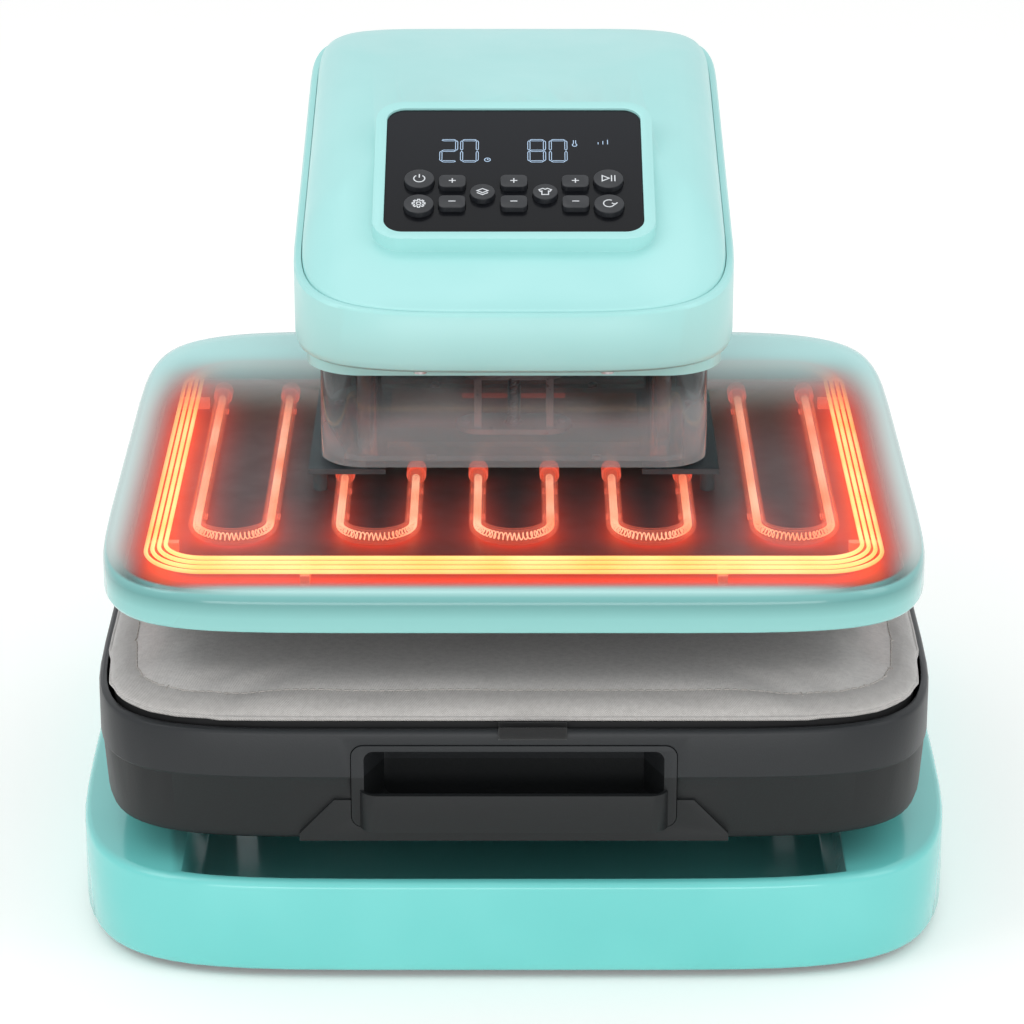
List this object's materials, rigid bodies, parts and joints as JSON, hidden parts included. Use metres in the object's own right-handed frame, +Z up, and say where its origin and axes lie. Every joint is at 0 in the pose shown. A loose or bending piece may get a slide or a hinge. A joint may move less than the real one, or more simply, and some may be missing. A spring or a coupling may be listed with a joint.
{
  "type": "heat press",
  "caption": "Drawer-fed heat press: a motor-driven heated head lowers onto a padded drawer that slides out of a mint-coloured base.",
  "frame": {"origin": "on the floor under the feet, midway between the base's sides and between its front and back", "axes": "+Z up, -Y towards the user and the way the drawer pulls out, +X to the right seen from the front"},
  "size_m": [0.4638, 0.5119, 0.385],
  "materials": {
    "pod_mint": "satin",
    "column_mint": "satin",
    "head_mint": "gloss",
    "base_mint": "gloss",
    "charcoal_plastic": "satin moulded",
    "black_fascia": "gloss",
    "button_plastic": "satin moulded",
    "black_plastic": "satin moulded",
    "dark_painted_steel": "powder coat",
    "zinc_plated_steel": "zinc plate",
    "ground_steel": "ground",
    "bronze": "turned",
    "motor_metal": "cast",
    "coated_aluminium": "non-stick coat",
    "black_oxide_steel": "black oxide",
    "ceramic_fibre": "fibrous board",
    "white_ceramic": "unglazed",
    "quartz_glass": "clear",
    "hot_element": "glowing",
    "smoked_polycarbonate": "smoked clear",
    "foot_rubber": "moulded",
    "circuit_board": "solder mask",
    "pad_board_black": "matte",
    "twill_fabric": "twill",
    "woven_tag": "woven"
  },
  "bodies": {
    "base": {"base_shell": "base_mint", "base_plate": "dark_painted_steel", "feet": "foot_rubber", "body_screws": "zinc_plated_steel", "fixed_rails": "zinc_plated_steel", "column_frame": "dark_painted_steel", "column_front_cover": "column_mint", "column_rear_cover": "column_mint", "power_inlet": "black_plastic", "arm_chassis": "dark_painted_steel", "gear_motor": "motor_metal", "screw_bearing": "ground_steel", "guide_bushes": "bronze", "power_board": "circuit_board", "fan_frame": "black_plastic", "pod_lower_shell": "pod_mint", "pod_top_cover": "pod_mint", "control_panel": "black_fascia", "display_module": "black_fascia", "control_board": "circuit_board"},
    "head": {"head_cover": "head_mint", "head_base_frame": "dark_painted_steel", "insulation_frame": "ceramic_fibre", "heat_shield": "black_oxide_steel", "heat_platen": "coated_aluminium", "perimeter_heater": "hot_element", "heater_tubes": "quartz_glass", "heater_filaments": "hot_element", "tube_holders": "white_ceramic", "terminal_block": "white_ceramic", "temperature_sensor": "bronze", "lift_plate": "dark_painted_steel", "skirt": "smoked_polycarbonate", "guide_posts": "ground_steel", "nut_carrier": "zinc_plated_steel", "lead_nut": "bronze", "head_screws": "zinc_plated_steel"},
    "drawer": {"drawer_rails": "zinc_plated_steel", "drawer_tray": "charcoal_plastic", "tray_frame": "dark_painted_steel", "drawer_handle": "charcoal_plastic", "pad_board": "pad_board_black", "pad_cover": "twill_fabric", "fabric_tag": "woven_tag"},
    "runner": {"middle_rails": "zinc_plated_steel"},
    "screw": {"lead_screw": "ground_steel"},
    "fan": {"fan_rotor": "black_plastic"},
    "rocker": {"rocker_switch": "black_plastic"},
    "power": {"power_button": "button_plastic"},
    "settings": {"settings_button": "button_plastic"},
    "time_plus": {"time_plus_button": "button_plastic"},
    "time_minus": {"time_minus_button": "button_plastic"},
    "vinyl_preset": {"vinyl_preset_button": "button_plastic"},
    "heat_plus": {"heat_plus_button": "button_plastic"},
    "heat_minus": {"heat_minus_button": "button_plastic"},
    "transfer_preset": {"transfer_preset_button": "button_plastic"},
    "pressure_plus": {"pressure_plus_button": "button_plastic"},
    "pressure_minus": {"pressure_minus_button": "button_plastic"},
    "start": {"start_button": "button_plastic"},
    "auto": {"auto_button": "button_plastic"}
  },
  "joints": [
    {"name": "drawer_slide", "type": "slide", "parent": "base", "child": "drawer", "axis": [0, -1, 0], "range_m": [0, 0.25]},
    {"name": "runner_slide", "type": "slide", "parent": "base", "child": "runner", "axis": [0, -1, 0], "range_m": [0, 0.125]},
    {"name": "head_slide", "type": "slide", "parent": "base", "child": "head", "axis": [0, 0, -1], "range_m": [0, 0.032]},
    {"name": "screw_spin", "type": "hinge", "parent": "base", "child": "screw", "pos_m": [0, 0, 0.3], "axis": [0, 0, 1], "range_deg": [-1, 1441]},
    {"name": "fan_spin", "type": "hinge", "parent": "base", "child": "fan", "pos_m": [0, 0.243, 0.339], "axis": [0, 1, 0], "continuous": true},
    {"name": "rocker_tilt", "type": "hinge", "parent": "base", "child": "rocker", "pos_m": [0, 0.242, 0.121], "axis": [1, 0, 0], "range_deg": [0, 16]},
    {"name": "power_press", "type": "slide", "parent": "base", "child": "power", "axis": [0, 0.3746, -0.9272], "range_m": [0, 0.0008], "stiffness_N_per_m": 600},
    {"name": "settings_press", "type": "slide", "parent": "base", "child": "settings", "axis": [0, 0.3746, -0.9272], "range_m": [0, 0.0008], "stiffness_N_per_m": 600},
    {"name": "time_plus_press", "type": "slide", "parent": "base", "child": "time_plus", "axis": [0, 0.3746, -0.9272], "range_m": [0, 0.0008], "stiffness_N_per_m": 600},
    {"name": "time_minus_press", "type": "slide", "parent": "base", "child": "time_minus", "axis": [0, 0.3746, -0.9272], "range_m": [0, 0.0008], "stiffness_N_per_m": 600},
    {"name": "vinyl_preset_press", "type": "slide", "parent": "base", "child": "vinyl_preset", "axis": [0, 0.3746, -0.9272], "range_m": [0, 0.0008], "stiffness_N_per_m": 600},
    {"name": "heat_plus_press", "type": "slide", "parent": "base", "child": "heat_plus", "axis": [0, 0.3746, -0.9272], "range_m": [0, 0.0008], "stiffness_N_per_m": 600},
    {"name": "heat_minus_press", "type": "slide", "parent": "base", "child": "heat_minus", "axis": [0, 0.3746, -0.9272], "range_m": [0, 0.0008], "stiffness_N_per_m": 600},
    {"name": "transfer_preset_press", "type": "slide", "parent": "base", "child": "transfer_preset", "axis": [0, 0.3746, -0.9272], "range_m": [0, 0.0008], "stiffness_N_per_m": 600},
    {"name": "pressure_plus_press", "type": "slide", "parent": "base", "child": "pressure_plus", "axis": [0, 0.3746, -0.9272], "range_m": [0, 0.0008], "stiffness_N_per_m": 600},
    {"name": "pressure_minus_press", "type": "slide", "parent": "base", "child": "pressure_minus", "axis": [0, 0.3746, -0.9272], "range_m": [0, 0.0008], "stiffness_N_per_m": 600},
    {"name": "start_press", "type": "slide", "parent": "base", "child": "start", "axis": [0, 0.3746, -0.9272], "range_m": [0, 0.0008], "stiffness_N_per_m": 600},
    {"name": "auto_press", "type": "slide", "parent": "base", "child": "auto", "axis": [0, 0.3746, -0.9272], "range_m": [0, 0.0008], "stiffness_N_per_m": 600}
  ],
  "couplings": [
    {"joint": "runner_slide", "follows": "drawer_slide", "ratio": 0.5},
    {"joint": "screw_spin", "follows": "head_slide", "rad_per_m": 785.4}
  ]
}
